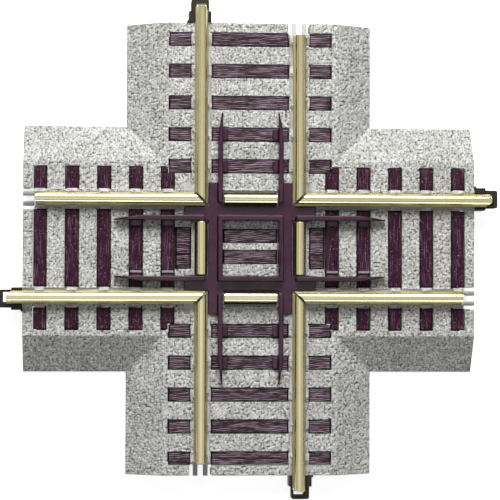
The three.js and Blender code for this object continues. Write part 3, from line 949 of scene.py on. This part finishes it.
def make_materials():
    """Every material by its name. An _x or _y says which way its metal was drawn."""
    made = {
        "ballast": ballast_material(),
        "tie_coarse": tie_material(
            "tie_plastic_coarse",
            dark=tint(46, 23, 38),
            light=tint(66, 40, 56),
            ridge=tint(168, 146, 159),
            tops=(0.52, 0.76),
            specks=0.2,
        ),
        "tie_fine": tie_material(
            "tie_plastic_fine",
            dark=tint(56, 20, 42),
            light=tint(74, 34, 58),
            ridge=tint(160, 138, 152),
            tops=(0.66, 0.98),
            specks=0.6,
        ),
        "guard": plastic_material(
            "guard_plastic",
            dark=tint(60, 26, 50),
            light=tint(76, 42, 64),
            rough=(0.17, 0.24),
            bump=0.006,
            shine=GUARD_SHINE,
            # Painted shade on the guard's steep walls, which show as dark outlines from above.
            wall_shade=tint(18, 2, 12),
        ),
        "joiner": plastic_material("joiner_plastic", tint(46, 41, 34), tint(60, 54, 46), (0.4, 0.58)),
        "cover": plastic_material("cover_plastic", tint(40, 38, 38), tint(54, 52, 52), (0.5, 0.7), 0.02),
    }
    brass = (tint(188, 160, 92), tint(214, 188, 118))
    steel = (tint(150, 150, 150), tint(190, 190, 188))
    made["screw"] = metal_material("screw_steel", *steel, (0.25, 0.4), (2500, 2500, 2500))
    for axis, stretch in (("x", (30, 4500, 4500)), ("y", (4500, 30, 4500))):
        made[f"rail_{axis}"] = rail_material(f"rail_metal_{axis}", stretch, tint(178, 168, 122))
        # On the closure rails the dark foot and web are painted shade, for the shadowed gap between each
        # rail and the guard's floor.
        made[f"closure_{axis}"] = rail_material(f"closure_metal_{axis}", stretch, tint(54, 46, 32))
        made[f"contact_{axis}"] = metal_material(f"contact_metal_{axis}", *brass, (0.25, 0.4), stretch)
    return made


MATERIALS = make_materials()


def dressed(obj, material, slot, body, *nodes):
    """Gives a piece its material and its body, and hides the CAD nodes it stands for. slot is not used.
    """
    obj.data.materials.clear()
    obj.data.materials.append(MATERIALS[material])
    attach(obj, body)
    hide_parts(*nodes)
    return obj


def recoloured(node, material):
    """Gives a CAD node that stays softened edges and a finished material."""
    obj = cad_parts[node]
    obj.data.materials.clear()
    obj.data.materials.append(MATERIALS[material])
    weld = obj.modifiers.new("weld", "WELD")
    weld.merge_threshold = WELD * MM
    flat = obj.modifiers.new("flat", "DECIMATE")
    flat.decimate_type = "DISSOLVE"
    flat.angle_limit = FLAT_ANGLE
    edges = obj.modifiers.new("edges", "BEVEL")
    edges.width = 0.06 * MM
    edges.segments = 2
    edges.limit_method = "ANGLE"
    edges.angle_limit = math.radians(40)


# ---- assembly --------------------------------------------------------------------------------


def build_joiner(arm):
    node = f"joiner_housing_{arm}"
    housing = bevelled(cad_copy(f"joiner_{arm}_shell", node), 0.12)
    dressed(weighted(smoothed(housing, 60)), "joiner", "joiner_plastic", f"joiner_{arm}", node)


def build_arm(arm, quarters):
    """The ties, rails and joiner of one arm. The east and west arms are the crossing track."""
    crossing = quarters % 2 == 1
    along, across = ("x", "y") if crossing else ("y", "x")
    strength = FINE_GRAIN if crossing else COARSE_GRAIN
    ties = build_ties(f"ties_{arm}", f"tie_frame_{arm}", tie_tops(quarters), strength)
    finish = "tie_fine" if crossing else "tie_coarse"
    dressed(ties, finish, "tie_plastic", "crossing", f"tie_frame_{arm}")
    for side_name in SIDES:
        rail = build_running_rail(arm, side_name)
        dressed(rail, f"rail_{along}", "rail_metal", "crossing", f"rail_{arm}_{side_name}")
    closure = build_closure_rail(arm)
    dressed(closure, f"closure_{across}", "rail_metal", "crossing", f"closure_rail_{arm}")
    build_joiner(arm)
    recoloured(f"joiner_contact_{arm}", f"contact_{along}")


def build_inserts():
    """The short ties in the middle, and those beside the east and west closure rails."""
    node = "centre_tie_insert"
    ties = build_ties("ties_centre", node, centre_tie_tops(), COARSE_GRAIN)
    dressed(ties, "tie_coarse", "tie_plastic", "crossing", node)
    for name, side in (("west", -1), ("east", 1)):
        node = f"side_tie_insert_{name}"
        ties = build_ties(f"ties_side_{name}", node, side_tie_tops(side), COARSE_GRAIN)
        dressed(ties, "tie_coarse", "tie_plastic", "crossing", node)


def build_all():
    dressed(build_roadbed(), "ballast", "ballast_plastic", "crossing", "roadbed")
    for arm, quarters in ARMS.items():
        build_arm(arm, quarters)
    build_inserts()
    dressed(build_guard(), "guard", "guard_plastic", "crossing", "guard_frog_moulding")
    for name, quarters in ARMS.items():
        recoloured(f"jumper_bar_{name}", "contact_y" if quarters % 2 else "contact_x")
    recoloured("bottom_cover", "cover")
    for corner in CORNERS:
        recoloured(f"cover_screw_{corner}", "screw")


# ---- floor, light and camera -----------------------------------------------------------------

FLOOR_SIZE = 6.0
FLOOR_GLOW = 0.8
ROOM_LIGHT = 0.045
BACKDROP = 0.85
WARM = (1.0, 0.93, 0.75)
PALE_WARM = (1.0, 0.96, 0.82)
CAMERA_OFFSET = Vector((-0.035, -0.016, 0.53))
CAMERA_ROLL = math.radians(-0.15)
SENSOR_WIDTH = 36
VIEW_WIDTH = 0.1263


def make_floor():
    """A pale floor that glows a little and throws no light back on the part."""
    mesh = bpy.data.meshes.new("floor")
    half = FLOOR_SIZE / 2
    corners = [(-half, -half, 0), (half, -half, 0), (half, half, 0), (-half, half, 0)]
    mesh.from_pydata(corners, [], [(0, 1, 2, 3)])
    floor = bpy.data.objects.new("floor", mesh)
    bpy.context.scene.collection.objects.link(floor)
    n = Nodes("floor_paint")
    colour = n.ramp(n.noise(4, 1), [(0.3, (0.93, 0.93, 0.93)), (0.7, (0.96, 0.96, 0.96))])
    n.shader.inputs["Emission Color"].default_value = (1, 1, 1, 1)
    n.shader.inputs["Emission Strength"].default_value = FLOOR_GLOW
    rough = n.between(n.noise(30), (0, 1), (0.8, 0.95))
    mesh.materials.append(n.finish(colour, rough, specular=0.0))
    floor.visible_diffuse = False


def aimed(obj, position, target, up=Vector((0, 1, 0))):
    """Puts a light or camera at a position, facing a target, with its top towards up."""
    back = (Vector(position) - Vector(target)).normalized()
    right = up.cross(back).normalized()
    top = back.cross(right)
    obj.matrix_world = Matrix(
        [
            (right.x, top.x, back.x, position[0]),
            (right.y, top.y, back.y, position[1]),
            (right.z, top.z, back.z, position[2]),
            (0, 0, 0, 1),
        ]
    )


def area_light(name, azimuth, elevation, distance, size, power, colour=(1, 1, 1)):
    """A soft light, size wide and high. Azimuth goes from north towards east, in degrees."""
    data = bpy.data.lights.new(name, "AREA")
    data.shape = "RECTANGLE"
    data.size, data.size_y = size
    data.energy = power
    data.color = colour
    obj = bpy.data.objects.new(name, data)
    bpy.context.scene.collection.objects.link(obj)
    a, e = math.radians(azimuth), math.radians(elevation)
    flat = math.cos(e) * distance
    position = Vector((flat * math.sin(a), flat * math.cos(a), math.sin(e) * distance))
    up = Vector((0, 1, 0)) if abs(elevation) > 80 else Vector((0, 0, 1))
    aimed(obj, position, (0, 0, 0), up)
    return obj


def make_lights():
    """A key from the north, a soft ceiling, a fill, and cards that only show as reflections."""
    area_light("key", -3, 44, distance=0.55, size=(0.34, 0.32), power=3.4)
    area_light("ceiling", 0, 90, distance=1.5, size=(0.9, 0.9), power=1.85)
    area_light("overhead", 170, 88, distance=1.5, size=(0.3, 0.3), power=0.08)
    area_light("fill_south", 180, 42, distance=1.2, size=(0.7, 0.16), power=1.1)
    bounce = area_light("bounce", 0, 90, distance=1.5, size=(0.9, 0.9), power=0.25)
    bounce.visible_glossy = False
    cards = [
        area_light("card_west", -90, 45, distance=1.0, size=(0.5, 0.5), power=0.6, colour=WARM),
        area_light("card_east", 90, 45, distance=1.0, size=(0.5, 0.5), power=0.6, colour=WARM),
        area_light("card_south", 180, 42, distance=1.2, size=(0.7, 0.4), power=2.2),
        area_light("card_above", 0, 90, distance=1.6, size=(2.0, 2.0), power=0.8, colour=PALE_WARM),
    ]
    for card in cards:
        card.visible_diffuse = False


def make_world():
    """A bright backdrop for the camera that lights the part only a little."""
    world = bpy.data.worlds.new("studio")
    world.use_nodes = True
    tree = world.node_tree
    background = tree.nodes["Background"]
    background.inputs["Color"].default_value = (1, 1, 1, 1)
    seen = tree.nodes.new("ShaderNodeLightPath").outputs["Is Camera Ray"]
    strength = tree.nodes.new("ShaderNodeMapRange")
    strength.inputs["To Min"].default_value = ROOM_LIGHT
    strength.inputs["To Max"].default_value = BACKDROP
    tree.links.new(seen, strength.inputs["Value"])
    tree.links.new(strength.outputs["Result"], background.inputs["Strength"])
    bpy.context.scene.world = world


def make_camera():
    """Almost straight above, a little to the south-west of the centre."""
    target = Vector((0, -0.00035, DECK_TOP * MM))
    position = target + CAMERA_OFFSET
    data = bpy.data.cameras.new("camera")
    data.sensor_width = SENSOR_WIDTH
    data.lens = SENSOR_WIDTH * CAMERA_OFFSET.length / VIEW_WIDTH
    data.clip_start = 0.01
    data.clip_end = 20
    camera = bpy.data.objects.new("camera", data)
    bpy.context.scene.collection.objects.link(camera)
    up = Vector((math.sin(CAMERA_ROLL), math.cos(CAMERA_ROLL), 0))
    aimed(camera, position, target, up)
    bpy.context.scene.camera = camera


make_camera()
make_lights()
make_world()
make_floor()
build_all()
bpy.context.scene.view_settings.view_transform = "Standard"
